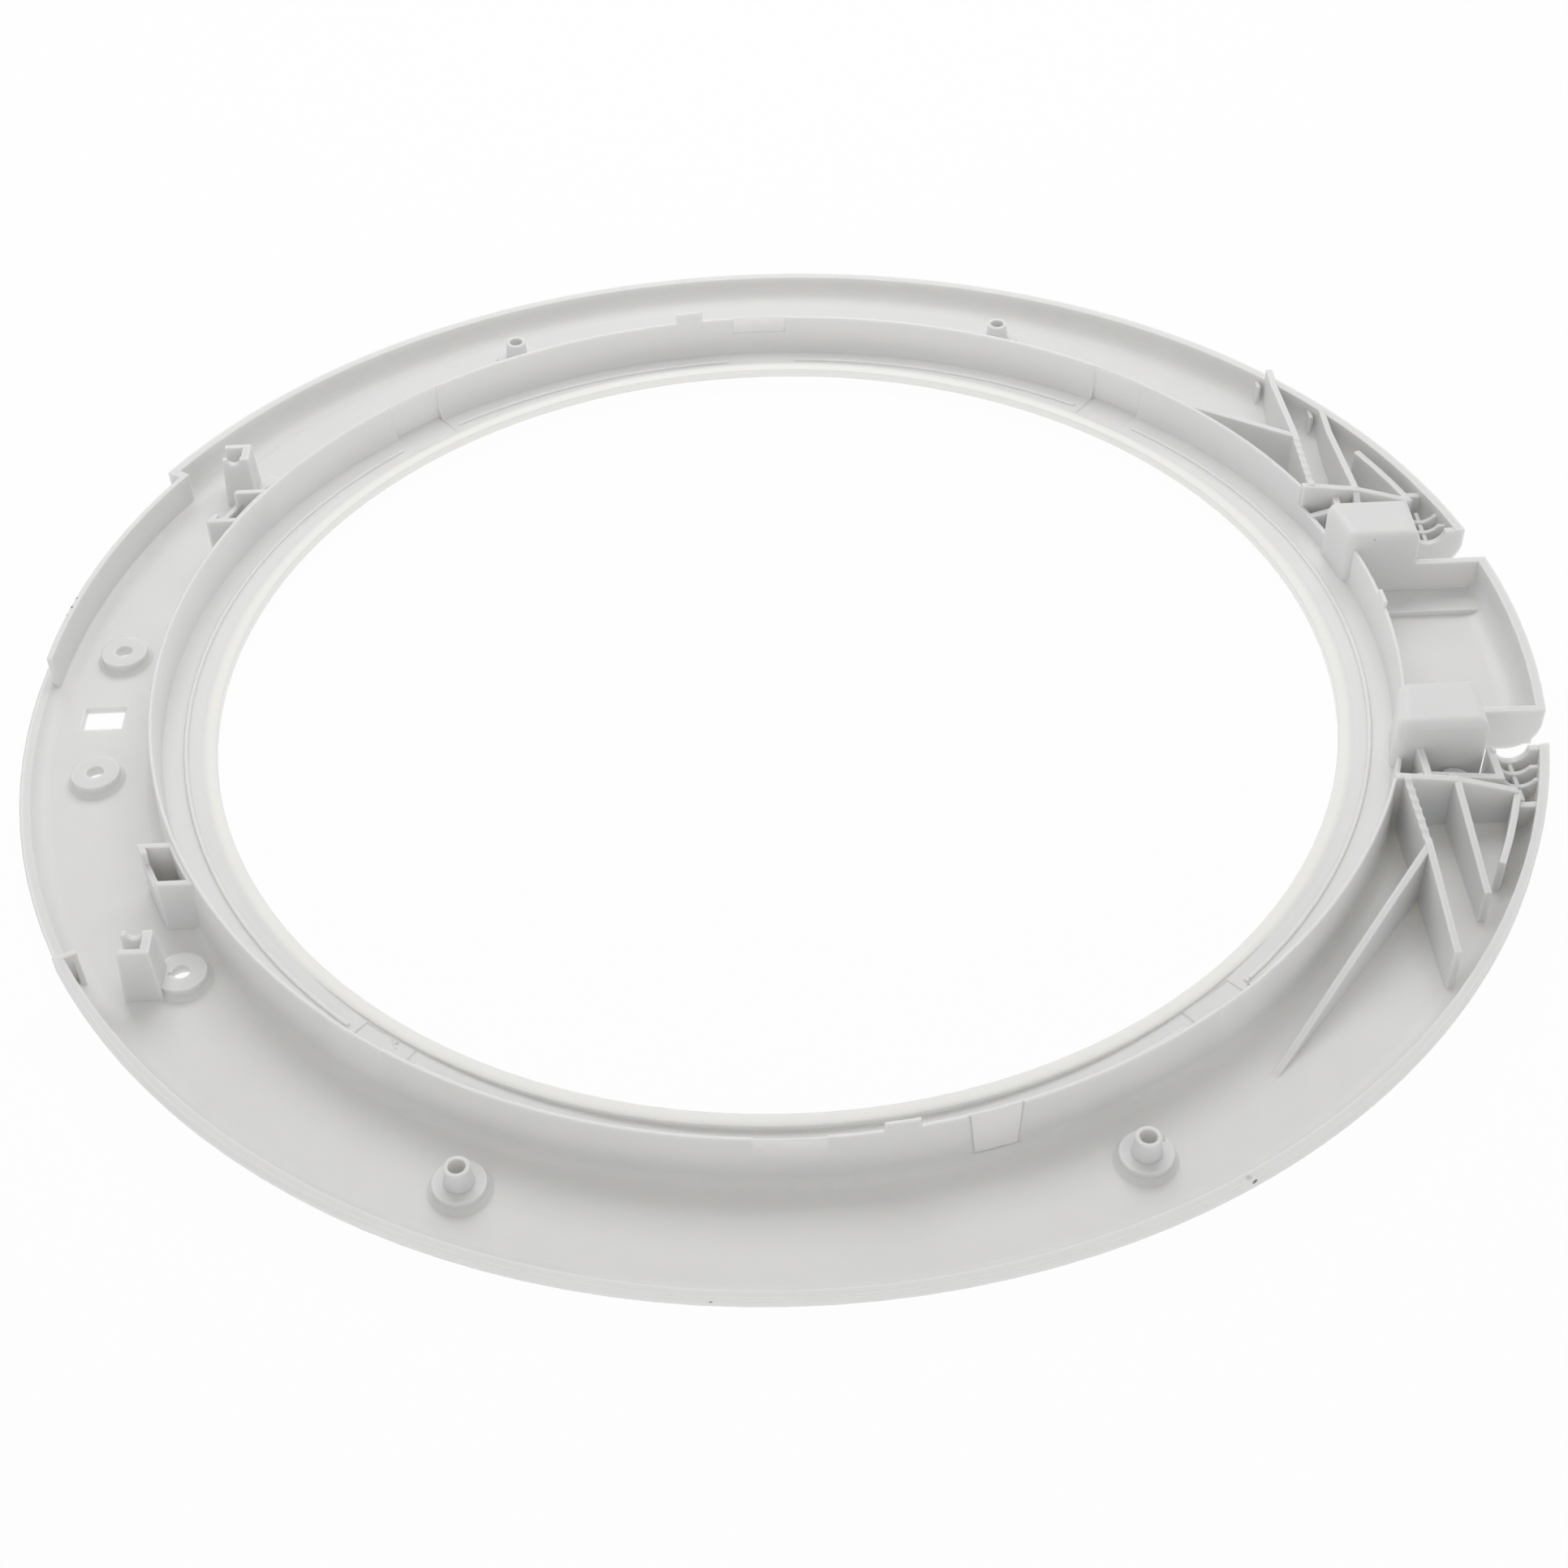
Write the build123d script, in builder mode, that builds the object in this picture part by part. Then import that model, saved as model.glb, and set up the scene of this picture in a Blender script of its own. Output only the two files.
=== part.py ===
from build123d import *
import os
from math import cos, degrees, radians, sin, sqrt

# Inner door frame of a front-loading washing machine: one moulded ring with a channel section.
# Millimetres. The origin is the middle of the glass hole on the resting plane, +Z points out of the
# ribbed side and +X runs from the latch side to the hinge side.

# Glass hole with its flat lip, and the crowned ledge that the glass sits on
hole_radius = 150.0
lip_width = 3.6
lip_underside = 3.3
lip_thickness = 2.5
ledge_width = 14.5
ledge_height = 4.2
ledge_thickness = 2.2
cove_width = 3.2
cove_height = 7.5
bead_offset = 7.7
bead_width = 1.0
bead_rise = 0.5

# Channel section: inner wall, floor and rounded outer rim
wall_top_thickness = 1.0
wall_foot_thickness = 1.8
wall_height = 15.6
wall_foot_fillet = 3.0
channel_width = 33.5
floor_thickness = 2.0
rim_thickness = 2.4
rim_height = 8.5
tray_fillet = 6.0
crown_radius = 4200.0
root = 0.6

# Glass clips, finger panels, window and locating tabs of the inner wall
clip_angles = (48.4, 130.0, -128.0, -51.0)
clip_width = 16.5
clip_depth = 0.2
clip_slit = 0.6
clip_slit_depth = 0.25
clip_bead_gap = 21.0
panel_angles = (89.7, -91.0)
panel_width = 16.5
panel_depth = 0.4
panel_drop = 5.4
window_angle = -74.85
window_width = 12.4
window_sill = 1.5
window_skin = 0.5
far_tab_angle = 97.4
far_tab_rise = 3.3
near_tab_angle = -82.3
near_tab_rise = 2.4
tab_width = 8.2
hinge_tab_angle = 2.8
hinge_tab_rise = 1.7
hinge_tab_width = 5.5

# Screw bosses of the outer cover
boss_offset = 15.1
boss_angle = 65.02
boss_height = 10.3
boss_top_radius = 2.95
boss_foot_radius = 3.5
boss_bore_radius = 2.0
collar_radius = 6.25
collar_height = 4.9
collar_flare = 0.9
collar_slit_length = 3.0
collar_slit_width = 0.6
collar_slit_depth = 1.5
collar_slit_offset = 4.2

# Latch side
latch_half_angle = 29.0
latch_wall_end_angle = 176.3
latch_wall_inset = 4.3
latch_wall_thickness = 1.4
latch_low_height = 4.3
latch_stub_length = 3.4
latch_stub_tip_height = 5.0
latch_pad_height = 5.0
latch_pad_radius = 6.3
latch_screw_inset = 22.2
latch_screw_spacing = 49.2
screw_hole_radius = 2.25
screw_head_radius = 4.4
screw_seat = 2.0
corner_screw_offset = 10.4
corner_screw_angle = 146.54
latch_slot_inset = 20.0
latch_slot_length = 10.9
latch_slot_width = 8.9
fin_places = (26.0, 14.3, 2.6)
fin_reach = 2.2
fin_thickness = 0.9
fin_height = 10.5

# Guide posts and wall pockets of the latch side
post_offset = 18.4
post_angle = 147.52
post_size = 7.6
post_height = 17.8
post_wall = 1.5
post_inner_wall = 2.3
post_taper = 3.0
post_notch_radius = 1.9
pocket_near_y = 65.6
pocket_length = 14.8
pocket_depth = 7.0
pocket_wall = 1.5
pocket_dip = 4.0
pocket_hook = 2.0

# Hinge box, arm gaps and the caps over the hinge arms
box_half_width = 32.4
box_wall = 2.0
box_step_y = 21.0
box_step_height = 3.8
arm_gap_width = 12.6
cap_far_wall = 2.3
cap_reach = 13.5
cap_height = 23.7
cap_bulge = 1.5
cap_roof = 2.0
cap_corner = 3.0
cap_fillet = 2.5

# Pin saddles behind the arm gaps
saddle_inset = 12.4
saddle_radius = 4.3
end_wall_thickness = 1.8
saddle_rib_thickness = 1.1
saddle_rib_offsets = (4.0, 8.8)
saddle_rib_height = 10.6
saddle_keel_height = 8.0
side_wall_gap = 5.4
side_wall_thickness = 2.0
side_wall_height = 12.3

# Stiffening ribs of the hinge side
rib_thickness = 1.8
cross_wall_y = 61.0
cross_wall_outer_height = 12.3
spine_gap = 1.3
spine_start_height = 19.2
spine_end_height = 14.9
spine_end_gap = 7.3
second_spine_share = 0.44
second_spine_start_height = 17.2
second_spine_end_height = 12.2
second_spine_end_gap = 10.6
inner_cross_gap = 5.2
inner_cross_height = 14.3
notch_height = 12.0
arc_rib_inset = 4.8
arc_rib_start = 18.2
arc_rib_end = 26.2
arc_rib_height = 12.0
diagonal_lead = 24.5
diagonal_end_offset = 13.8
diagonal_end_angle = 53.2
diagonal_start_height = 19.0
scallop_count = 6
scallop_radius = 2.4
scallop_depth = 0.8
spine_stop_width = 1.2
spine_stop_length = 4.0
spine_stop_gap = 1.2
spine_stop_height = 9.5
stay_share = 0.54
stay_height = 15.3
pin_boss_gap = 3.3
pin_boss_y = 51.5
pin_boss_radius = 3.6
pin_boss_height = 8.5
short_rib_lead = 4.0
short_rib_height = 11.0


def crown(height, x):
    """Height of a crowned edge at a place along the latch to hinge line."""
    return height + crown_radius - sqrt(crown_radius**2 - x**2)


def along_x(y):
    """Upright plane across the hinge, with X to the right and Z up."""
    return Plane(origin=(0, y, 0), x_dir=(1, 0, 0), z_dir=(0, -1, 0))


def along_y(x):
    """Upright plane along the hinge, with Y to the right and Z up."""
    return Plane(origin=(x, 0, 0), x_dir=(0, 1, 0), z_dir=(1, 0, 0))


def outward(angle):
    """Upright plane through the middle of the hole, with its X pointing outward at an angle."""
    way = Vector(cos(radians(angle)), sin(radians(angle)), 0)
    return Plane(origin=(0, 0, 0), x_dir=way, z_dir=way.cross(Vector(0, 0, 1)))


def circle_x(radius, y):
    """X of a circle about the origin at a given Y."""
    return sqrt(radius**2 - y**2)


def half_angle(width, radius):
    """Half of the angle in degrees that a width takes up on a circle."""
    return degrees(width / radius) / 2


def polar(radius, angle):
    """Point at a radius and an angle in degrees."""
    return (radius * cos(radians(angle)), radius * sin(radians(angle)))


# Places that follow from the sizes above
floor_top = floor_thickness
rib_foot = floor_top - root
lip_top = lip_underside + lip_thickness
wall_inside = hole_radius + ledge_width
wall_middle = wall_inside + wall_top_thickness / 2
wall_radius = wall_inside + wall_foot_thickness
rim_inside = wall_radius + channel_width
rim_radius = rim_inside + rim_thickness
split_radius = wall_radius + channel_width / 2
reach = rim_radius + 30.0
sky = 60.0
wall_blank = crown(wall_height, wall_radius) + root
wall_draft = (wall_foot_thickness - wall_top_thickness) / (wall_height - floor_top)
bead_inside = hole_radius + bead_offset - bead_width / 2
slope_foot = hole_radius + lip_width + root
slope_top = bead_inside + bead_width / 2
latch_wall_radius = rim_radius - latch_wall_inset
latch_wall_inside = latch_wall_radius - latch_wall_thickness
latch_screw_x = latch_screw_inset - rim_radius
latch_slot_x = latch_slot_inset - rim_radius
cap_near_y = box_half_width - box_wall
arm_gap_far_y = box_half_width + arm_gap_width
cap_far_y = arm_gap_far_y + cap_far_wall
cap_outer_x = wall_radius + cap_reach
saddle_x = rim_inside - saddle_inset
side_wall_x = saddle_x - side_wall_gap
inner_cross_y = cross_wall_y - inner_cross_gap
arc_rib_radius = rim_inside - arc_rib_inset
cross_wall_inner_x = circle_x(wall_middle, cross_wall_y)
cross_wall_outer_x = circle_x(arc_rib_radius, cross_wall_y)
spine_x = circle_x(wall_radius, cross_wall_y) + spine_gap
second_spine_x = spine_x + second_spine_share * (cross_wall_outer_x - spine_x)
stay_x = spine_x + stay_share * (second_spine_x - spine_x)
spine_rim_y = circle_x(rim_inside, spine_x)
second_spine_rim_y = circle_x(rim_inside, second_spine_x)
diagonal_start_y = cross_wall_y + diagonal_lead
short_rib_y = cross_wall_y + short_rib_lead


def ring_sector(inner, outer, start, end):
    """Flat ring sector between two radii and two angles in degrees."""
    with BuildSketch() as sector:
        with BuildLine():
            inside = CenterArc((0, 0), inner, start, end - start)
            outside = CenterArc((0, 0), outer, start, end - start)
            Line(inside @ 0, outside @ 0)
            Line(inside @ 1, outside @ 1)
        make_face()
    return sector.sketch


def space_above(height):
    """Everything above a surface that is crowned along X."""
    with BuildPart() as space:
        with BuildSketch(Plane.XZ):
            with BuildLine():
                edge = ThreePointArc((-reach, crown(height, reach)), (0, height), (reach, crown(height, reach)))
                Polyline(edge @ 1, (reach, sky), (-reach, sky), edge @ 0)
            make_face()
        extrude(amount=reach, both=True)
    return space.part


above_rim = space_above(rim_height)
above_wall = space_above(wall_height)
above_ledge_underside = space_above(ledge_height - ledge_thickness)
above_ledge_middle = space_above(ledge_height - ledge_thickness / 2)
above_ledge = space_above(ledge_height)
above_bead = space_above(ledge_height + bead_rise)

# Trimming bodies that give the rim and the inner wall their crowned edges
with BuildPart() as rim_trim:
    add(above_rim)
    Cylinder(split_radius, 4 * sky, mode=Mode.SUBTRACT)

with BuildPart() as wall_trim:
    add(above_wall)
    Cylinder(split_radius, 4 * sky, mode=Mode.INTERSECT)

# Crowned glass ledge with its slope down to the lip
with BuildPart() as glass_ledge:
    with BuildSketch():
        Circle(wall_middle)
        Circle(hole_radius + lip_width / 2, mode=Mode.SUBTRACT)
    extrude(amount=sky)
    add(above_ledge, mode=Mode.SUBTRACT)
    add(above_ledge_underside, mode=Mode.INTERSECT)
    slope_rise = crown(ledge_height, slope_top) - lip_top
    slope_run = slope_top - slope_foot
    with BuildSketch(Plane.XZ):
        with BuildLine():
            Polyline(
                (hole_radius, lip_top),
                (slope_foot, lip_top),
                (slope_foot + 2 * slope_run, lip_top + 2 * slope_rise),
                (hole_radius, lip_top + 2 * slope_rise),
                close=True,
            )
        make_face()
    revolve(axis=Axis.Z, mode=Mode.SUBTRACT)

# Hollow round where the inner wall meets the ledge
with BuildPart() as ledge_cove:
    cove_foot = ledge_height - ledge_thickness / 2
    with BuildSketch(Plane.XZ):
        with BuildLine():
            cove = TangentArc(
                (wall_inside, cove_foot + cove_height), (wall_inside - cove_width, cove_foot), tangent=(0, -1)
            )
            Polyline(cove @ 1, (wall_middle, cove_foot), (wall_middle, cove_foot + cove_height), cove @ 0)
        make_face()
    revolve(axis=Axis.Z)
    add(above_ledge_middle, mode=Mode.INTERSECT)

# Thin bead on the ledge, broken at the glass clips and at the far finger panel
with BuildPart() as ledge_bead:
    bead_stops = sorted(angle % 360 for angle in clip_angles + panel_angles[:1])
    bead_half_gap = half_angle(clip_bead_gap, bead_inside)
    with BuildSketch():
        for start, end in zip(bead_stops, bead_stops[1:] + [bead_stops[0] + 360]):
            add(ring_sector(bead_inside, bead_inside + bead_width, start + bead_half_gap, end - bead_half_gap))
    extrude(amount=sky)
    add(above_bead, mode=Mode.SUBTRACT)
    add(above_ledge_middle, mode=Mode.INTERSECT)

# Half of the hinge side, with Y positive: ribs, box wall and pin saddles
with BuildPart() as hinge_half:
    # Long spine with its scalloped crest, and the shorter spine beside it
    spine_end_y = spine_rim_y - spine_end_gap
    with BuildSketch(along_y(spine_x)):
        with BuildLine():
            Polyline(
                (cross_wall_y, rib_foot),
                (spine_end_y, rib_foot),
                (spine_end_y, spine_end_height),
                (diagonal_start_y, diagonal_start_height),
                (cross_wall_y, spine_start_height),
                close=True,
            )
        make_face()
    extrude(amount=rib_thickness / 2, both=True)
    scallop_pitch = diagonal_lead / (scallop_count + 1)
    for index in range(scallop_count):
        with Locations((
            spine_x,
            cross_wall_y + (index + 1) * scallop_pitch,
            spine_start_height + scallop_radius - scallop_depth,
        )):
            Cylinder(scallop_radius, 2 * rib_thickness, rotation=(0, 90, 0), mode=Mode.SUBTRACT)
    second_spine_end_y = second_spine_rim_y - second_spine_end_gap
    with BuildSketch(along_y(second_spine_x)):
        with BuildLine():
            Polyline(
                (inner_cross_y, rib_foot),
                (second_spine_end_y, rib_foot),
                (second_spine_end_y, second_spine_end_height),
                (cross_wall_y, second_spine_start_height),
                (inner_cross_y, inner_cross_height),
                close=True,
            )
        make_face()
    extrude(amount=rib_thickness / 2, both=True)

    # Cross walls between the inner wall and the arc rib
    with BuildSketch(along_x(cross_wall_y)):
        with BuildLine():
            Polyline(
                (cross_wall_inner_x, rib_foot),
                (cross_wall_outer_x, rib_foot),
                (cross_wall_outer_x, cross_wall_outer_height),
                (second_spine_x, second_spine_start_height),
                (cross_wall_inner_x, spine_start_height),
                close=True,
            )
        make_face()
    extrude(amount=rib_thickness / 2, both=True)
    inner_cross_start = circle_x(wall_middle, inner_cross_y)
    with BuildSketch(along_x(inner_cross_y)):
        with BuildLine():
            Polyline(
                (inner_cross_start, rib_foot),
                (side_wall_x, rib_foot),
                (side_wall_x, side_wall_height),
                (stay_x, inner_cross_height),
                (inner_cross_start, notch_height),
                close=True,
            )
        make_face()
    extrude(amount=rib_thickness / 2, both=True)

    # Diagonal rib that sinks into the floor
    diagonal_end = polar(wall_radius + diagonal_end_offset, diagonal_end_angle)
    diagonal_way = Vector(diagonal_end[0] - spine_x, diagonal_end[1] - diagonal_start_y, 0)
    diagonal_plane = Plane(
        origin=(spine_x, diagonal_start_y, 0),
        x_dir=diagonal_way,
        z_dir=diagonal_way.cross(Vector(0, 0, 1)),
    )
    with BuildSketch(diagonal_plane):
        with BuildLine():
            Polyline((0, rib_foot), (diagonal_way.length, rib_foot), (0, diagonal_start_height), close=True)
        make_face()
    extrude(amount=rib_thickness / 2, both=True)

    # Arc rib that follows the rim
    with BuildSketch(Plane.XY.offset(rib_foot)):
        add(ring_sector(
            arc_rib_radius - rib_thickness / 2, arc_rib_radius + rib_thickness / 2, arc_rib_start, arc_rib_end
        ))
    extrude(amount=arc_rib_height - rib_foot)

    # Stay between cap and cross wall, pin boss, and short rib from the arc rib to the rim
    with BuildSketch(Plane.XY.offset(rib_foot)):
        with Locations((stay_x, (cap_far_y + cross_wall_y) / 2)):
            Rectangle(rib_thickness, cross_wall_y - cap_far_y + 2 * root)
    extrude(amount=stay_height - rib_foot)
    with BuildSketch(Plane.XY.offset(rib_foot)):
        with Locations((second_spine_x + pin_boss_gap, pin_boss_y)):
            Circle(pin_boss_radius)
    extrude(amount=pin_boss_height - rib_foot)
    short_rib_start = circle_x(arc_rib_radius, short_rib_y)
    short_rib_end = circle_x(rim_inside, short_rib_y) + root
    with BuildSketch(Plane.XY.offset(rib_foot)):
        with Locations(((short_rib_start + short_rib_end) / 2, short_rib_y)):
            Rectangle(short_rib_end - short_rib_start, rib_thickness)
    extrude(amount=short_rib_height - rib_foot)

    # End wall of the channel and saddle ribs, each with a half-round seat for the hinge pin
    end_wall_y = arm_gap_far_y + end_wall_thickness / 2
    seats = [(end_wall_y, end_wall_thickness, crown(rim_height, saddle_x))]
    for offset in saddle_rib_offsets:
        seats.append((arm_gap_far_y + end_wall_thickness + offset, saddle_rib_thickness, saddle_rib_height))
    for place, thickness, top in seats:
        seat_end = circle_x(rim_inside, place) + root
        with BuildSketch(along_x(place)):
            with BuildLine():
                Polyline(
                    (side_wall_x, rib_foot), (seat_end, rib_foot), (seat_end, top), (side_wall_x, top), close=True
                )
            make_face()
            with Locations((saddle_x, crown(rim_height, saddle_x))):
                Circle(saddle_radius, mode=Mode.SUBTRACT)
        extrude(amount=thickness / 2, both=True)
    with BuildSketch(Plane.XY.offset(rib_foot)):
        with Locations((saddle_x, (arm_gap_far_y + cross_wall_y) / 2)):
            Rectangle(saddle_rib_thickness, cross_wall_y - arm_gap_far_y - 2 * root)
    extrude(amount=saddle_keel_height - rib_foot)
    with BuildSketch(Plane.XY.offset(rib_foot)):
        with Locations((side_wall_x, (arm_gap_far_y + inner_cross_y) / 2)):
            Rectangle(side_wall_thickness, inner_cross_y - arm_gap_far_y + rib_thickness)
    extrude(amount=side_wall_height - rib_foot)

    # Side wall of the hinge box, and the low step at its foot
    box_side_end = circle_x(rim_inside, box_half_width) + root
    with BuildSketch(Plane.XY.offset(rib_foot)):
        with Locations(((cap_outer_x + box_side_end) / 2 - root, box_half_width - box_wall / 2)):
            Rectangle(box_side_end - cap_outer_x + 2 * root, box_wall)
    extrude(amount=crown(rim_height, box_side_end) - rib_foot)
    with BuildSketch(Plane.XY.offset(rib_foot)):
        Circle(rim_inside + root)
        Circle(wall_radius - root, mode=Mode.SUBTRACT)
        with Locations((reach / 2, (box_step_y + cap_near_y + root) / 2)):
            Rectangle(reach, cap_near_y + root - box_step_y, mode=Mode.INTERSECT)
    extrude(amount=box_step_height - rib_foot)

    mirror(about=Plane.XZ)

# Rounded cap over one hinge arm, before its pocket is cut
with BuildPart() as hinge_cap:
    with BuildSketch(Plane.XY.offset(rib_foot)):
        with Locations((cap_outer_x / 2, (cap_near_y + cap_far_y) / 2)):
            Rectangle(cap_outer_x, cap_far_y - cap_near_y)
        Circle(wall_inside - cap_bulge, mode=Mode.SUBTRACT)
    extrude(amount=cap_height - rib_foot)
    fillet(hinge_cap.edges().filter_by(Axis.Z).sort_by(Axis.X)[:2], radius=cap_corner)
    fillet(hinge_cap.faces().sort_by(Axis.Z)[-1].edges(), radius=cap_fillet)
    with BuildSketch():
        Circle(wall_middle)
    extrude(amount=crown(ledge_height, hole_radius) - ledge_thickness / 2, mode=Mode.SUBTRACT)
    mirror(about=Plane.XZ)

# The whole frame
with BuildPart() as inner_door_frame:
    # Ring section: inner wall with draft, channel floor and rounded outer rim
    with BuildSketch(Plane.XZ) as section:
        with BuildLine():
            Polyline(
                (wall_inside, 0),
                (wall_inside, wall_blank),
                (wall_radius - wall_draft * (wall_blank - floor_top), wall_blank),
                (wall_radius, floor_top),
                (rim_inside, floor_top),
                (rim_inside, wall_blank),
                (rim_radius, wall_blank),
                (rim_radius, 0),
                close=True,
            )
        make_face()
        fillet(section.vertices().sort_by_distance((wall_radius, floor_top))[0], radius=wall_foot_fillet)
        fillet(section.vertices().sort_by_distance((rim_inside, floor_top))[0], radius=tray_fillet)
        fillet(section.vertices().sort_by_distance((rim_radius, 0))[0], radius=tray_fillet + rim_thickness)
    revolve(axis=Axis.Z)
    add(glass_ledge.part)
    add(ledge_cove.part)
    with BuildSketch(Plane.XY.offset(lip_underside)):
        Circle(hole_radius + lip_width)
        Circle(hole_radius, mode=Mode.SUBTRACT)
    extrude(amount=lip_thickness)
    add(ledge_bead.part)
    add(rim_trim.part, mode=Mode.SUBTRACT)
    add(wall_trim.part, mode=Mode.SUBTRACT)

    # Glass clips: a shallow seat on the ledge and up the wall, with a slit on the side of the frame's middle
    for angle in clip_angles:
        clip_half = half_angle(clip_width, wall_inside)
        slit_half = half_angle(clip_slit, wall_inside)
        slit_turn = clip_half if sin(radians(2 * angle)) > 0 else -clip_half
        seat_level = crown(ledge_height, polar(wall_inside, angle)[0]) - clip_depth
        seat_foot = hole_radius + lip_width + root
        for middle, half, depth in (
            (angle, clip_half, 0),
            (angle + slit_turn, slit_half, clip_slit_depth),
        ):
            with BuildSketch(Plane.XY.offset(seat_level - depth)):
                add(ring_sector(seat_foot, wall_inside + clip_depth + depth / 2, middle - half, middle + half))
            extrude(amount=sky, mode=Mode.SUBTRACT)

    # Finger panels: the wall's edge is thinned on the hole side
    panel_half = half_angle(panel_width, wall_inside)
    with BuildSketch(Plane.XY.offset(wall_height - panel_drop)):
        for angle in panel_angles:
            add(ring_sector(wall_inside - root, wall_inside + panel_depth, angle - panel_half, angle + panel_half))
    extrude(amount=sky, mode=Mode.SUBTRACT)

    # Window: the wall slants to a thin skin towards its edge on the channel side
    window_half = half_angle(window_width, wall_inside)
    with BuildSketch(outward(window_angle - window_half)):
        with BuildLine():
            Polyline(
                (wall_inside + window_skin, wall_blank),
                (wall_radius + wall_foot_fillet, wall_blank),
                (wall_radius + wall_foot_fillet, floor_top + window_sill),
                (wall_radius, floor_top + window_sill),
                close=True,
            )
        make_face()
    revolve(axis=Axis.Z, revolution_arc=2 * window_half, mode=Mode.SUBTRACT)

    # Locating tabs on the wall's edge
    for angle, rise, width in (
        (far_tab_angle, far_tab_rise, tab_width),
        (near_tab_angle, near_tab_rise, tab_width),
        (hinge_tab_angle, hinge_tab_rise, hinge_tab_width),
    ):
        tab_half = half_angle(width, wall_inside)
        tab_foot = crown(wall_height, polar(wall_inside, angle)[0])
        with BuildSketch(Plane.XY.offset(tab_foot - 2 * root)):
            add(ring_sector(wall_inside, wall_inside + wall_top_thickness, angle - tab_half, angle + tab_half))
        extrude(amount=rise + 2 * root)

    # The inner wall is lower between the hinge caps and the cross walls
    for side in (1, -1):
        with BuildSketch(Plane.XY.offset(notch_height)):
            Circle(wall_radius)
            Circle(wall_inside - root, mode=Mode.SUBTRACT)
            with Locations((reach / 2, side * (cap_far_y - cap_corner + cross_wall_y) / 2)):
                Rectangle(reach, cross_wall_y - cap_far_y + cap_corner, mode=Mode.INTERSECT)
        extrude(amount=sky, mode=Mode.SUBTRACT)

    # Latch side: the rim is cut low and a thinner wall stands further in
    latch_start = 180 - latch_half_angle
    latch_end = 180 + latch_half_angle
    with BuildSketch(Plane.XY.offset(latch_low_height)):
        add(ring_sector(rim_inside - tray_fillet, reach, latch_start, latch_end))
    extrude(amount=sky, mode=Mode.SUBTRACT)
    latch_top = crown(rim_height, latch_wall_radius)
    far_return = degrees(rim_thickness / rim_radius)
    near_return = degrees(latch_wall_thickness / rim_radius)
    with BuildSketch(Plane.XY.offset(rib_foot)):
        add(ring_sector(latch_wall_inside, latch_wall_radius, latch_start, latch_wall_end_angle))
        add(ring_sector(latch_wall_inside, rim_inside + root, latch_start - far_return, latch_start))
        add(ring_sector(latch_wall_inside, rim_inside + root, latch_end, latch_end + near_return))
    extrude(amount=latch_top - rib_foot)
    stub_foot = polar(latch_wall_inside + latch_wall_thickness / 2, latch_end)
    stub_way = Vector(*polar(1, latch_end + 90), 0)
    with BuildSketch(Plane(origin=(*stub_foot, 0), x_dir=stub_way, z_dir=stub_way.cross(Vector(0, 0, 1)))):
        with BuildLine():
            Polyline(
                (0, rib_foot),
                (latch_stub_length, rib_foot),
                (latch_stub_length, latch_stub_tip_height),
                (0, latch_top),
                close=True,
            )
        make_face()
    extrude(amount=latch_wall_thickness / 2, both=True)
    add(rim_trim.part, mode=Mode.SUBTRACT)

    # Screw pads of the latch and of the frame's latch-side corners, each on a flared foot, with a
    # seat for the screw head sunk into the underside
    corner_x, corner_y = polar(wall_radius + corner_screw_offset, corner_screw_angle)
    pads = [(latch_screw_x, side * latch_screw_spacing / 2) for side in (1, -1)]
    pads += [(corner_x, side * corner_y) for side in (1, -1)]
    with BuildSketch(Plane.XY.offset(rib_foot)):
        with Locations(*pads):
            Circle(latch_pad_radius)
    extrude(amount=latch_pad_height - rib_foot)
    with Locations(Plane.XY.offset(rib_foot)):
        with Locations(*pads):
            Cone(
                latch_pad_radius + 2 * collar_flare,
                latch_pad_radius,
                2 * collar_flare,
                align=(Align.CENTER, Align.CENTER, Align.MIN),
            )
    with BuildSketch():
        with Locations(*pads):
            Circle(screw_hole_radius)
        with Locations((latch_slot_x, 0)):
            Rectangle(latch_slot_length, latch_slot_width)
    extrude(amount=sky, mode=Mode.SUBTRACT)
    with BuildSketch():
        with Locations(*pads):
            Circle(screw_head_radius)
    extrude(amount=latch_pad_height - screw_seat, mode=Mode.SUBTRACT)

    # Small fins on the inner wall beside the latch
    with BuildSketch(Plane.XY.offset(rib_foot)):
        for place in fin_places:
            fin_start = circle_x(wall_middle, place)
            fin_end = circle_x(wall_radius, place) + fin_reach
            with Locations((-(fin_start + fin_end) / 2, place)):
                Rectangle(fin_end - fin_start, fin_thickness)
    extrude(amount=fin_height - rib_foot)

    # Guide posts: drafted, three-sided, open outward, with a round notch towards the latch
    post_x, post_y = polar(wall_radius + post_offset, post_angle)
    for side in (1, -1):
        with BuildSketch(Plane.XY.offset(post_height)):
            with Locations((post_x, side * post_y)):
                Rectangle(post_size, post_size)
        extrude(amount=rib_foot - post_height, taper=-post_taper)
        with BuildSketch(Plane.XY.offset(floor_top)):
            with Locations((post_x - post_inner_wall, side * post_y)):
                Rectangle(post_size, post_size - 2 * post_wall)
        extrude(amount=sky, mode=Mode.SUBTRACT)
        with Locations((post_x - post_wall / 2, side * (post_y - post_size / 2), post_height)):
            Cylinder(post_notch_radius, 3 * post_wall, rotation=(90, 0, 0), mode=Mode.SUBTRACT)

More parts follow.
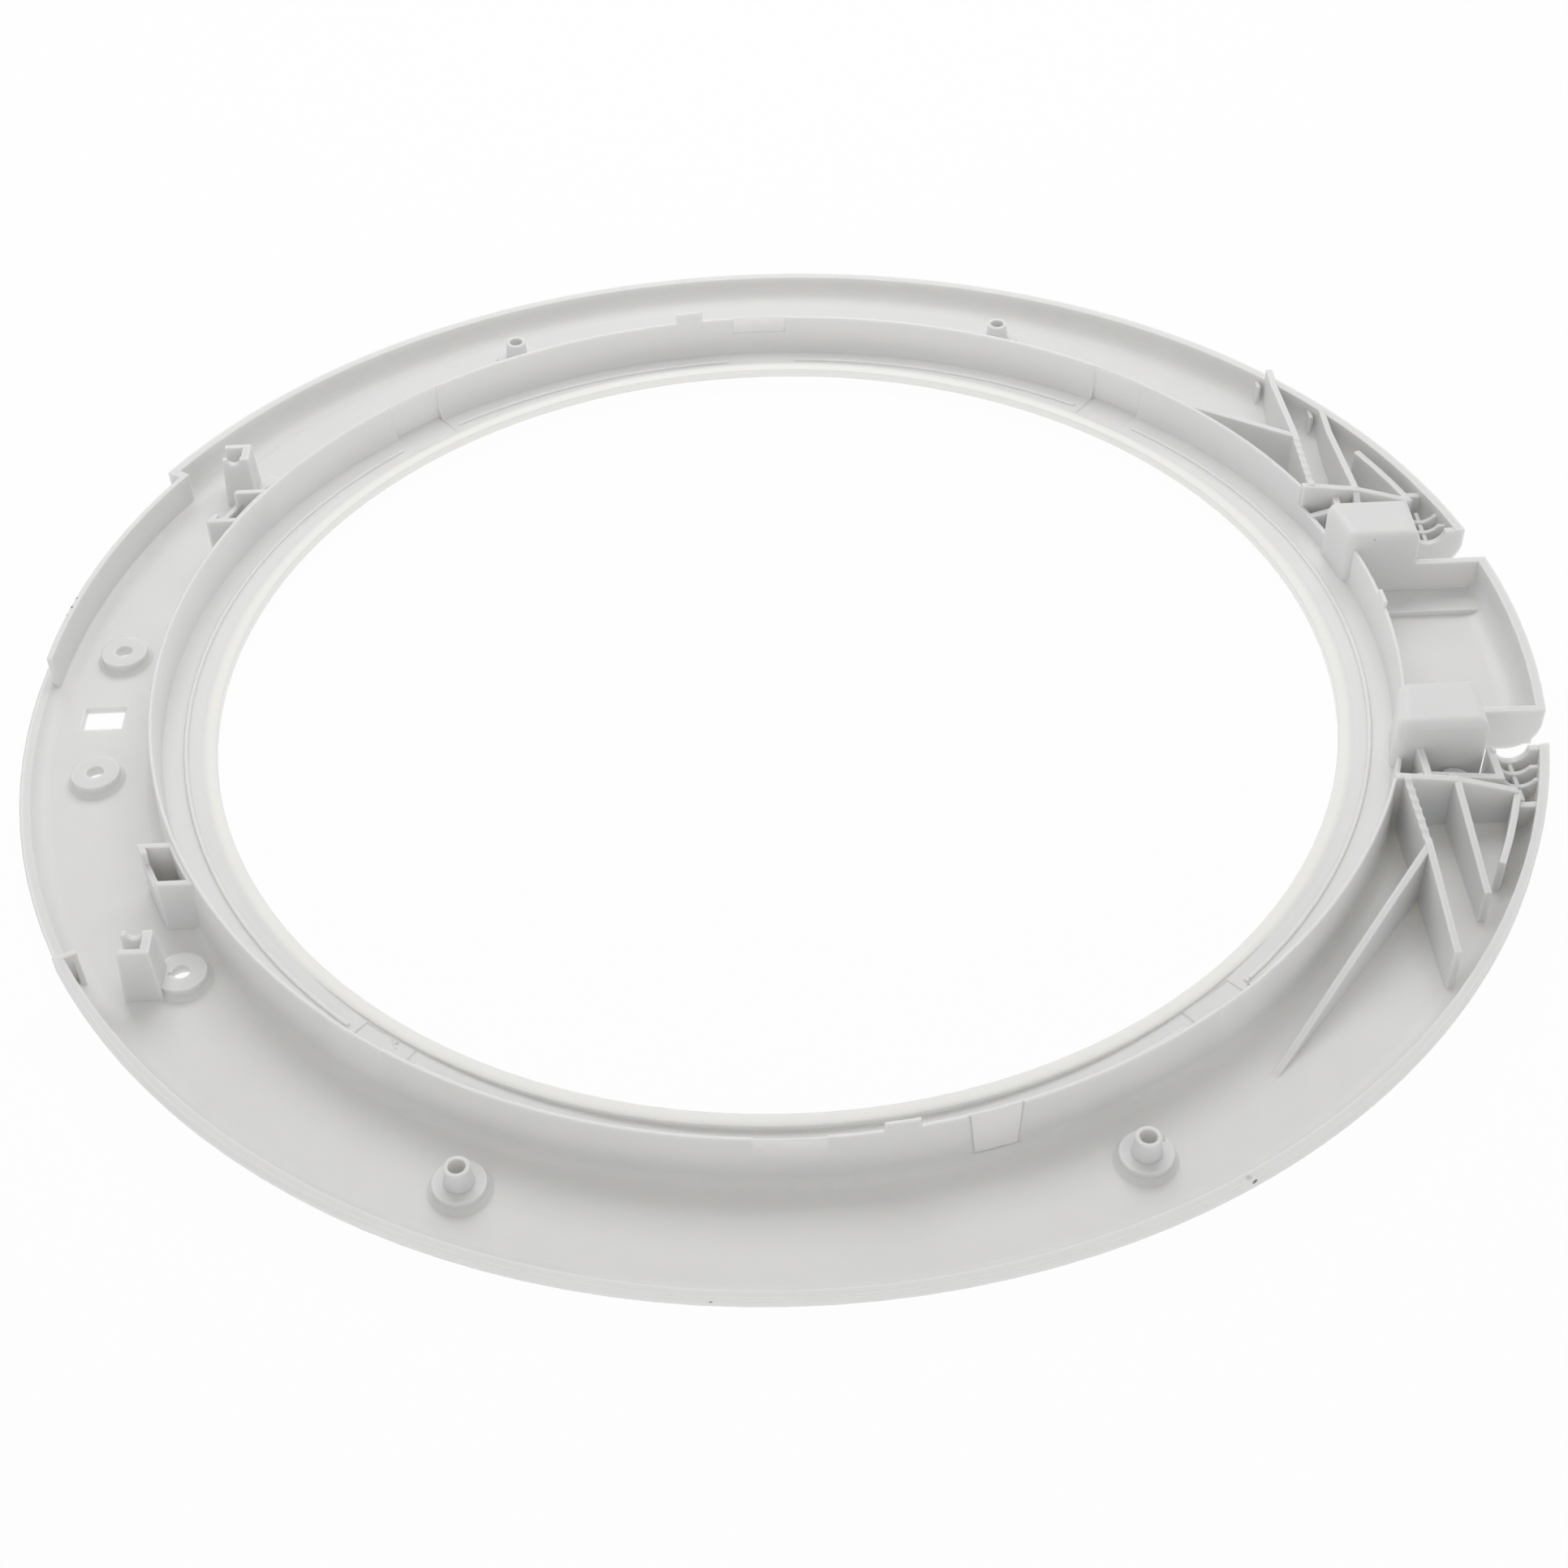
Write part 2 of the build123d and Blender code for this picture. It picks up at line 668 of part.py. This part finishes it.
    # Wall pockets beside the posts
    for side in (1, -1):
        pocket_middle = side * (pocket_near_y + pocket_length / 2)
        pocket_top = crown(wall_height, circle_x(wall_radius, pocket_middle)) - root
        with BuildSketch(Plane.XY.offset(rib_foot)):
            add(ring_sector(wall_middle, wall_radius + pocket_depth, 90, 270))
            with Locations((-reach / 2, pocket_middle)):
                Rectangle(reach, pocket_length, mode=Mode.INTERSECT)
        extrude(amount=pocket_top - rib_foot)
        with BuildSketch(Plane.XY.offset(floor_top)):
            add(ring_sector(wall_radius, wall_radius + pocket_depth - pocket_wall, 90, 270))
            with Locations((-reach / 2, pocket_middle)):
                Rectangle(reach, pocket_length - 2 * pocket_wall, mode=Mode.INTERSECT)
        extrude(amount=sky, mode=Mode.SUBTRACT)
        with BuildSketch(Plane.XY.offset(pocket_top - pocket_dip)):
            add(ring_sector(wall_radius + root, wall_radius + 2 * pocket_depth, 90, 270))
            with Locations((-reach / 2, pocket_middle + side * pocket_hook / 2)):
                Rectangle(reach, pocket_length - 2 * pocket_wall - pocket_hook, mode=Mode.INTERSECT)
        extrude(amount=sky, mode=Mode.SUBTRACT)

    # Cover screw bosses on their collars, one collar with a narrow slit
    boss_x, boss_y = polar(wall_radius + boss_offset, boss_angle)
    bosses = [(across * boss_x, along * boss_y) for across in (1, -1) for along in (1, -1)]
    with BuildSketch(Plane.XY.offset(rib_foot)):
        with Locations(*bosses):
            Circle(collar_radius)
    extrude(amount=collar_height - rib_foot)
    for level, foot, top, rise in (
        (rib_foot, collar_radius + 2 * collar_flare, collar_radius, 2 * collar_flare),
        (collar_height - root, boss_foot_radius, boss_top_radius, boss_height - collar_height + root),
    ):
        with Locations(Plane.XY.offset(level)):
            with Locations(*bosses):
                Cone(foot, top, rise, align=(Align.CENTER, Align.CENTER, Align.MIN))
    with BuildSketch():
        with Locations(*bosses):
            Circle(boss_bore_radius)
    extrude(amount=sky, mode=Mode.SUBTRACT)
    with BuildSketch(Plane.XY.offset(collar_height - collar_slit_depth)):
        with Locations((boss_x + collar_slit_offset, collar_slit_offset - boss_y)):
            Rectangle(collar_slit_width, collar_slit_length)
    extrude(amount=sky, mode=Mode.SUBTRACT)

    # Hinge side: ribs and caps, and the far spines that run on into the rim
    add(hinge_half.part)
    add(hinge_cap.part)
    for x, start, end, height in (
        (spine_x, spine_end_y, spine_rim_y + rim_thickness / 2, spine_end_height),
        (second_spine_x, second_spine_end_y, second_spine_rim_y + root, second_spine_end_height),
    ):
        with BuildSketch(Plane.XY.offset(rib_foot)):
            with Locations((x, (start + end) / 2 - root)):
                Rectangle(rib_thickness, end - start + 2 * root)
        extrude(amount=height - rib_foot)

    # Small stops on the rim beside the ends of the far spines
    for x in (spine_x, second_spine_x):
        stop_x = x - rib_thickness / 2 - spine_stop_gap - spine_stop_width / 2
        with BuildSketch(Plane.XY.offset(rib_foot)):
            with Locations((stop_x, circle_x(rim_inside, stop_x) - spine_stop_length / 2 + root)):
                Rectangle(spine_stop_width, spine_stop_length)
        extrude(amount=spine_stop_height - rib_foot)

    # Arm gaps through rim and floor, and the pockets under the caps
    for side in (1, -1):
        arm_y = side * (box_half_width + arm_gap_far_y) / 2
        with BuildSketch(Plane.XY.offset(-root)):
            with Locations(((cap_outer_x + reach) / 2, arm_y)):
                Rectangle(reach - cap_outer_x, arm_gap_width)
        extrude(amount=sky, mode=Mode.SUBTRACT)
        with BuildSketch(Plane.XY.offset(-root)):
            with Locations(((cap_outer_x + root) / 2, arm_y)):
                Rectangle(cap_outer_x + root, arm_gap_width)
            Circle(wall_radius + root, mode=Mode.SUBTRACT)
        extrude(amount=cap_height - cap_roof + root, mode=Mode.SUBTRACT)

inner_door_frame.part.label = "inner_door_frame"
os.makedirs("parts", exist_ok=True)
export_step(inner_door_frame.part, "parts/inner_door_frame.step")
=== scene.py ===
from math import cos, radians, sin

import bpy
from mathutils import Matrix, Vector

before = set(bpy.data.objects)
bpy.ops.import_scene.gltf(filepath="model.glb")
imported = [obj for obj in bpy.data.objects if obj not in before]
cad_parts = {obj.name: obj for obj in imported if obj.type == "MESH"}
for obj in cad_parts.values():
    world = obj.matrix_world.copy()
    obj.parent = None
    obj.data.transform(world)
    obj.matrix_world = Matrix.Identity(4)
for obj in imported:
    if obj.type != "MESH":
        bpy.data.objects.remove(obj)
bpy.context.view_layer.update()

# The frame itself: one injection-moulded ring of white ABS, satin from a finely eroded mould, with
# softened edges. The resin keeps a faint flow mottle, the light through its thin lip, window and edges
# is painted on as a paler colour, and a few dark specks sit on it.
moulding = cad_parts["inner_door_frame"]


class Wire:
    """A socket of a node tree. Maths on wires adds Math nodes to that tree."""

    def __init__(self, tree, socket=None):
        self.tree = tree
        self.socket = socket

    def node(self, kind, settings, inputs, output=0):
        made = self.tree.nodes.new(kind)
        for name, value in settings.items():
            setattr(made, name, value)
        for name, value in inputs.items():
            if isinstance(value, Wire):
                self.tree.links.new(value.socket, made.inputs[name])
            else:
                made.inputs[name].default_value = value
        return Wire(self.tree, made.outputs[output] if made.outputs else None)

    def maths(self, operation, *values):
        return self.node("ShaderNodeMath", {"operation": operation}, dict(enumerate(values)))

    def __add__(self, other):
        return self.maths("ADD", self, other)

    def __sub__(self, other):
        return self.maths("SUBTRACT", self, other)

    def __rsub__(self, other):
        return self.maths("SUBTRACT", other, self)

    def __mul__(self, other):
        return self.maths("MULTIPLY", self, other)

    __radd__ = __add__
    __rmul__ = __mul__


def empty_nodes(owner):
    """The cleared node tree of a new material, or of the world."""
    owner.use_nodes = True
    owner.node_tree.nodes.clear()
    return Wire(owner.node_tree)


white_plastic = bpy.data.materials.new("white_plastic")
plastic = empty_nodes(white_plastic)
place = plastic.node("ShaderNodeTexCoord", {}, {}, "Object")
across, along, height = (
    plastic.node("ShaderNodeSeparateXYZ", {}, {0: place}, axis) for axis in "XYZ"
)
from_middle = plastic.maths("SQRT", across * across + along * along)


def tint(base, colour, share):
    """The base colour, covered with the other one as far as the share says."""
    return plastic.node("ShaderNodeMix", {"data_type": "RGBA"}, {0: share, 6: base, 7: colour}, 2)


def fade(value, none_at, full_at, curve="LINEAR"):
    """A share that is 0 where the value is none_at, and 1 where it is full_at."""
    return plastic.node(
        "ShaderNodeMapRange",
        {"interpolation_type": curve},
        {"Value": value, "From Min": none_at, "From Max": full_at},
    )


# Flow mottle in the resin, and the cloud and the grain that the eroded mould leaves on it
mottle = plastic.node(
    "ShaderNodeTexNoise", {}, {"Vector": place, "Scale": 26.0, "Detail": 3.0, "Roughness": 0.55}
)
cloud = plastic.node(
    "ShaderNodeTexNoise", {}, {"Vector": place, "Scale": 190.0, "Detail": 2.0, "Roughness": 0.5}
)
grain = plastic.node(
    "ShaderNodeTexNoise", {}, {"Vector": place, "Scale": 2600.0, "Detail": 1.0, "Roughness": 0.5}
)
resin_grey = (0.777, 0.780, 0.779, 1)
resin_white = (0.817, 0.820, 0.819, 1)
resin = tint(resin_grey, resin_white, mottle)

# The thin lip round the glass hole is painted warmer and paler: a painted glow of the light that comes
# through it
lip_outer, lip_inner = 0.1541, 0.1518
lip_glow_white = (0.93, 0.92, 0.885, 1)
lit_lip = tint(resin, lip_glow_white, fade(from_middle, lip_outer, lip_inner, "SMOOTHSTEP"))

# The window sunk into the near wall has only a thin skin left, and the light coming through it is
# painted
# on as a paler colour: a painted glow. Its sides come closer together downwards, and its sill lies
# above the channel floor.
window_angle = radians(15.15)
window_half_width, window_flare = 0.0049, 0.09
window_sill = 0.0037
window_blur = 0.0002
wall_radius, wall_band = 0.1659, 0.0010
window_glow_white = (0.865, 0.862, 0.855, 1)
sideways = plastic.maths("ABSOLUTE", cos(window_angle) * across + sin(window_angle) * along)
between_sides = fade(
    sideways - window_flare * height,
    window_half_width + window_blur,
    window_half_width - window_blur,
)
above_sill = fade(height, window_sill - window_blur, window_sill + window_blur)
on_wall = plastic.maths("COMPARE", from_middle, wall_radius, wall_band)
on_near_side = plastic.maths("LESS_THAN", along, 0.0)
window = between_sides * above_sill * on_wall * on_near_side
# Painted glow: the window's thin skin is painted paler for the light that passes through it
painted_window_glow = tint(lit_lip, window_glow_white, window)

# Painted highlight and glow on sharp edges: where little plastic lies around a point, it is painted
# paler, for the light that catches the edge and passes through it
edge_depth = 0.0008
thick_share, thin_share = 0.92, 0.50
edge_highlight_white = (0.94, 0.93, 0.90, 1)
plastic_around = plastic.node(
    "ShaderNodeAmbientOcclusion",
    {"inside": True, "only_local": True, "samples": 8},
    {"Distance": edge_depth},
    "AO",
)
painted_edge_light = tint(painted_window_glow, edge_highlight_white, fade(plastic_around, thick_share, thin_share))

# Dark specks, the darkest first: three specks of dirt in a row on the latch-side edge, one low on the
# near rim and a brown one on the near right edge. Fainter dark spots lie at the near glass clips, and
# fainter specks at a screw pad and a hinge cap.
dark_mark_brown = (0.055, 0.045, 0.036, 1)
dark_marks = 0.0
for spot, size, strength in (
    ((-0.1942, 0.0391, 0.0130), 0.0008, 1.0),
    ((-0.1948, 0.0351, 0.0130), 0.0007, 1.0),
    ((-0.1957, 0.0316, 0.0131), 0.0008, 1.0),
    ((-0.0213, -0.2012, 0.0070), 0.0006, 0.9),
    ((0.0981, -0.1765, 0.0085), 0.0009, 0.9),
    ((0.0968, -0.1764, 0.0093), 0.0010, 0.25),
    ((-0.0934, -0.1235, 0.0052), 0.0006, 0.30),
    ((-0.0945, -0.1226, 0.0052), 0.0004, 0.22),
    ((-0.0941, -0.1238, 0.0052), 0.0005, 0.14),
    ((-0.0935, -0.1250, 0.0052), 0.0005, 0.14),
    ((0.1078, -0.1167, 0.0060), 0.0008, 0.40),
    ((0.1083, -0.1151, 0.0061), 0.0005, 0.25),
    ((-0.1501, -0.0980, 0.0050), 0.0007, 0.35),
    ((0.1671, 0.0306, 0.0221), 0.0004, 0.30),
):
    from_spot = plastic.node(
        "ShaderNodeVectorMath", {"operation": "DISTANCE"}, {0: place, 1: spot}, "Value"
    )
    dark_marks = plastic.maths("MAXIMUM", dark_marks, strength * fade(from_spot, size, 0.5 * size))
specked = tint(painted_edge_light, dark_mark_brown, dark_marks)

# Moulded edges are slightly round, and the satin grain stands a few microns high
edge_rounding = 0.0006
window_depth = 0.0007
grain_height = 0.00004
satin_roughness, cloud_roughness = 0.36, 0.12
soft_edge = plastic.node("ShaderNodeBevel", {"samples": 6}, {"Radius": edge_rounding})
sunk = plastic.node(
    "ShaderNodeBump",
    {"invert": True},
    {"Strength": 1.0, "Distance": window_depth, "Height": window, "Normal": soft_edge},
)
satin = plastic.node(
    "ShaderNodeBump",
    {},
    {"Strength": 0.12, "Distance": grain_height, "Height": grain + 2.0 * cloud, "Normal": sunk},
)
skin = plastic.node(
    "ShaderNodeBsdfPrincipled",
    {},
    {
        "Base Color": specked,
        "Roughness": satin_roughness + cloud_roughness * cloud,
        "Normal": satin,
        "IOR": 1.5,
        "Subsurface Weight": 0.8,
        "Subsurface Radius": (1.0, 0.92, 0.80),
        "Subsurface Scale": 0.0025,
    },
)
plastic.node("ShaderNodeOutputMaterial", {}, {"Surface": skin})
moulding.data.materials.clear()
moulding.data.materials.append(white_plastic)

# The floor: a white product table of opal sheet, faintly lit through, laid just under the frame. The
# camera sees it white, and the frame keeps its soft shadow on it.
table_size, table_top = 6.0, -0.0002
table_glow, table_glow_in_view = 0.6, 0.36
bpy.ops.object.select_all(action="DESELECT")
bpy.ops.mesh.primitive_plane_add(size=table_size, location=(0, 0, table_top))
table = bpy.context.object
table.name = "table"
bpy.ops.object.transform_apply(location=True, rotation=True, scale=True)
table_opal = bpy.data.materials.new("table_opal")
opal = empty_nodes(table_opal)


def in_view(wires):
    """1 on what the camera sees straight, in a gloss or through a clear piece, and 0 on other rays."""
    straight, mirrored, passed = (
        wires.node("ShaderNodeLightPath", {}, {}, f"Is {ray} Ray")
        for ray in ("Camera", "Glossy", "Transmission")
    )
    return straight + mirrored + passed


matt = opal.node("ShaderNodeBsdfDiffuse", {}, {"Color": (0.92, 0.92, 0.91, 1)})
glow = opal.node("ShaderNodeEmission", {}, {"Color": (1, 1, 1, 1), "Strength": 1.0})
glow_share = table_glow + table_glow_in_view * in_view(opal)
sheet = opal.node("ShaderNodeMixShader", {}, {0: glow_share, 1: matt, 2: glow})
opal.node("ShaderNodeOutputMaterial", {}, {"Surface": sheet})
table.data.materials.append(table_opal)

# Studio light: a white tent all round, brighter at its walls than at its top, and white to the camera.
# One large softbox hangs behind the frame, so its far side is brighter than its near side.
tent_walls, top_loss, back_loss = 0.745, 0.36, 0.15
world = bpy.data.worlds.new("tent")
bpy.context.scene.world = world
tent = empty_nodes(world)
toward = tent.node("ShaderNodeTexCoord", {}, {}, "Generated")
upward = tent.node("ShaderNodeSeparateXYZ", {}, {0: toward}, "Z")
backward = tent.node("ShaderNodeSeparateXYZ", {}, {0: toward}, "Y")
tent_light = tent_walls - top_loss * upward - back_loss * backward
looked_at = in_view(tent)
cloth = tent.node(
    "ShaderNodeBackground",
    {},
    {"Color": (1, 1, 1, 1), "Strength": looked_at + (1.0 - looked_at) * tent_light},
)
tent.node("ShaderNodeOutputWorld", {}, {"Surface": cloth})

softbox_place = (0.0, 0.50, 0.70)
bpy.ops.object.light_add(type="AREA", location=softbox_place)
softbox = bpy.context.object
softbox.name = "softbox"
softbox.rotation_euler = softbox.location.to_track_quat("Z", "Y").to_euler()
softbox.data.shape = "RECTANGLE"
softbox.data.size = 0.9
softbox.data.size_y = 0.5
softbox.data.energy = 3.3

# The camera stands half a metre in front of the frame, a little to the latch side, and looks down at
# it. Its place, turn and lens give the photograph's viewing angle and framing.
camera_place = (-0.0095, -0.5064, 0.4429)
camera = bpy.data.objects.new("camera", bpy.data.cameras.new("camera"))
bpy.context.scene.collection.objects.link(camera)
right = Vector((0.99905, -0.03937, -0.01909)).normalized()
up = Vector((0.04086, 0.68347, 0.72884))
back = right.cross(up).normalized()
up = back.cross(right)
turn = Matrix((right, up, back)).transposed()
camera.matrix_world = Matrix.Translation(camera_place) @ turn.to_4x4()
camera.data.sensor_width = 36.0
camera.data.lens = 56.665
camera.data.clip_start = 0.01
camera.data.clip_end = 20.0
bpy.context.scene.camera = camera
bpy.context.scene.view_settings.view_transform = "Standard"
